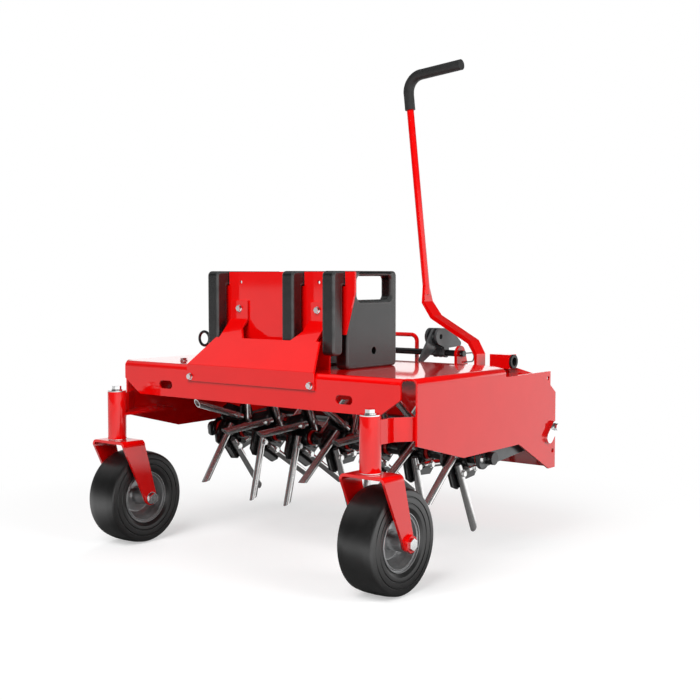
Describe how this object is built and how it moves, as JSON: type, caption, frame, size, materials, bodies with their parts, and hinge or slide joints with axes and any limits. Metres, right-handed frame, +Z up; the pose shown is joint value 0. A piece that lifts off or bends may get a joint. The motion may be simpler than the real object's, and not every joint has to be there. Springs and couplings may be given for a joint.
{
  "type": "core aerator attachment",
  "caption": "Front-carried core aerator: red sheet deck on caster wheels, rack of suitcase weights, free tine star wheels on a carriage lowered by a hand lever.",
  "frame": {"origin": "on the ground below the middle of the bounding box", "axes": "+Z up, -Y to the machine's front where the casters are, +X to the side of the machine that the picture shows, where the lever's foot is"},
  "size_m": [1.1482, 0.952, 1.4815],
  "materials": {
    "red_powder_coat": "gloss",
    "black_casting": "textured satin",
    "black_steel": "satin",
    "grey_steel": "satin",
    "rim_grey": "gloss",
    "zinc_steel": "zinc plated",
    "bright_steel": "polished",
    "tyre_rubber": "matte",
    "grip_vinyl": "matte",
    "bushing_plastic": "satin"
  },
  "bodies": {
    "frame": {"deck": "red_powder_coat", "side_panel_right": "red_powder_coat", "side_panel_left": "red_powder_coat", "hitch_plate": "red_powder_coat", "rod_lugs": "red_powder_coat", "hinge_rod": "black_steel", "rod_clips": "zinc_steel", "carry_loop": "red_powder_coat", "hitch_sleeves": "red_powder_coat", "sleeve_bushings": "bushing_plastic", "lift_brackets": "red_powder_coat", "pivot_pins": "zinc_steel", "caster_arm_right": "red_powder_coat", "caster_arm_left": "red_powder_coat", "rack_plate": "red_powder_coat", "rack_cover": "red_powder_coat", "rack_bolts": "zinc_steel", "weight_left": "black_casting", "weight_middle": "black_casting", "weight_right": "black_casting", "lock_tab": "red_powder_coat"},
    "coupler_body": {"coupler": "grey_steel"},
    "lock_body": {"lock_rod": "black_steel"},
    "caster_right": {"fork_right": "red_powder_coat", "spindle_right": "zinc_steel", "axle_right": "zinc_steel"},
    "wheel_right": {"rim_right": "rim_grey", "tyre_right": "tyre_rubber"},
    "caster_left": {"fork_left": "red_powder_coat", "spindle_left": "zinc_steel", "axle_left": "zinc_steel"},
    "wheel_left": {"rim_left": "rim_grey", "tyre_left": "tyre_rubber"},
    "carriage": {"carriage_tube": "black_steel", "swing_arms": "grey_steel", "arm_bolts": "zinc_steel", "rotor_shaft": "black_steel", "spacers": "black_steel", "spacer_rings": "red_powder_coat"},
    "tine_wheel_1": {"star_1": "black_steel", "tines_1": "bright_steel"},
    "tine_wheel_2": {"star_2": "black_steel", "tines_2": "bright_steel"},
    "tine_wheel_3": {"star_3": "black_steel", "tines_3": "bright_steel"},
    "tine_wheel_4": {"star_4": "black_steel", "tines_4": "bright_steel"},
    "tine_wheel_5": {"star_5": "black_steel", "tines_5": "bright_steel"},
    "tine_wheel_6": {"star_6": "black_steel", "tines_6": "bright_steel"},
    "tine_wheel_7": {"star_7": "black_steel", "tines_7": "bright_steel"},
    "lever_body": {"lift_shaft": "black_steel", "lever": "red_powder_coat", "lever_grip": "grip_vinyl"},
    "links_body": {"lift_links": "grey_steel"}
  },
  "joints": [
    {"name": "swivel_right", "type": "hinge", "parent": "frame", "child": "caster_right", "pos_m": [0.481, -0.404, 0.319], "axis": [0, 0, 1], "continuous": true},
    {"name": "wheel_spin_right", "type": "hinge", "parent": "caster_right", "child": "wheel_right", "pos_m": [0.481, -0.336, 0.14], "axis": [1, 0, 0], "continuous": true},
    {"name": "swivel_left", "type": "hinge", "parent": "frame", "child": "caster_left", "pos_m": [-0.481, -0.404, 0.319], "axis": [0, 0, 1], "continuous": true},
    {"name": "wheel_spin_left", "type": "hinge", "parent": "caster_left", "child": "wheel_left", "pos_m": [-0.481, -0.336, 0.14], "axis": [1, 0, 0], "continuous": true},
    {"name": "lever_pivot", "type": "hinge", "parent": "frame", "child": "lever_body", "pos_m": [0, 0.377, 0.49], "axis": [1, 0, 0], "range_deg": [0, 30]},
    {"name": "carriage_pivot", "type": "hinge", "parent": "frame", "child": "carriage", "pos_m": [0, 0.367, 0.333], "axis": [1, 0, 0], "range_deg": [0, 30]},
    {"name": "link_pivot", "type": "hinge", "parent": "lever_body", "child": "links_body", "pos_m": [0, 0.30183, 0.51736], "axis": [1, 0, 0], "range_deg": [-30, 0]},
    {"name": "tine_spin_1", "type": "hinge", "parent": "carriage", "child": "tine_wheel_1", "pos_m": [-0.4416, 0.0666, 0.3057], "axis": [1, 0, 0], "continuous": true},
    {"name": "tine_spin_2", "type": "hinge", "parent": "carriage", "child": "tine_wheel_2", "pos_m": [-0.2944, 0.0666, 0.3057], "axis": [1, 0, 0], "continuous": true},
    {"name": "tine_spin_3", "type": "hinge", "parent": "carriage", "child": "tine_wheel_3", "pos_m": [-0.1472, 0.0666, 0.3057], "axis": [1, 0, 0], "continuous": true},
    {"name": "tine_spin_4", "type": "hinge", "parent": "carriage", "child": "tine_wheel_4", "pos_m": [0, 0.0666, 0.3057], "axis": [1, 0, 0], "continuous": true},
    {"name": "tine_spin_5", "type": "hinge", "parent": "carriage", "child": "tine_wheel_5", "pos_m": [0.1472, 0.0666, 0.3057], "axis": [1, 0, 0], "continuous": true},
    {"name": "tine_spin_6", "type": "hinge", "parent": "carriage", "child": "tine_wheel_6", "pos_m": [0.2944, 0.0666, 0.3057], "axis": [1, 0, 0], "continuous": true},
    {"name": "tine_spin_7", "type": "hinge", "parent": "carriage", "child": "tine_wheel_7", "pos_m": [0.4416, 0.0666, 0.3057], "axis": [1, 0, 0], "continuous": true},
    {"name": "coupler_pivot", "type": "hinge", "parent": "frame", "child": "coupler_body", "pos_m": [0.1535, 0.392, 0.567], "axis": [1, 0, 0], "range_deg": [-8, 45]},
    {"name": "lock_slide", "type": "slide", "parent": "frame", "child": "lock_body", "axis": [-1, 0, 0], "range_m": [0, 0.48]}
  ],
  "couplings": [
    {"joint": "carriage_pivot", "follows": "lever_pivot", "ratio": 1},
    {"joint": "link_pivot", "follows": "lever_pivot", "ratio": -1}
  ]
}
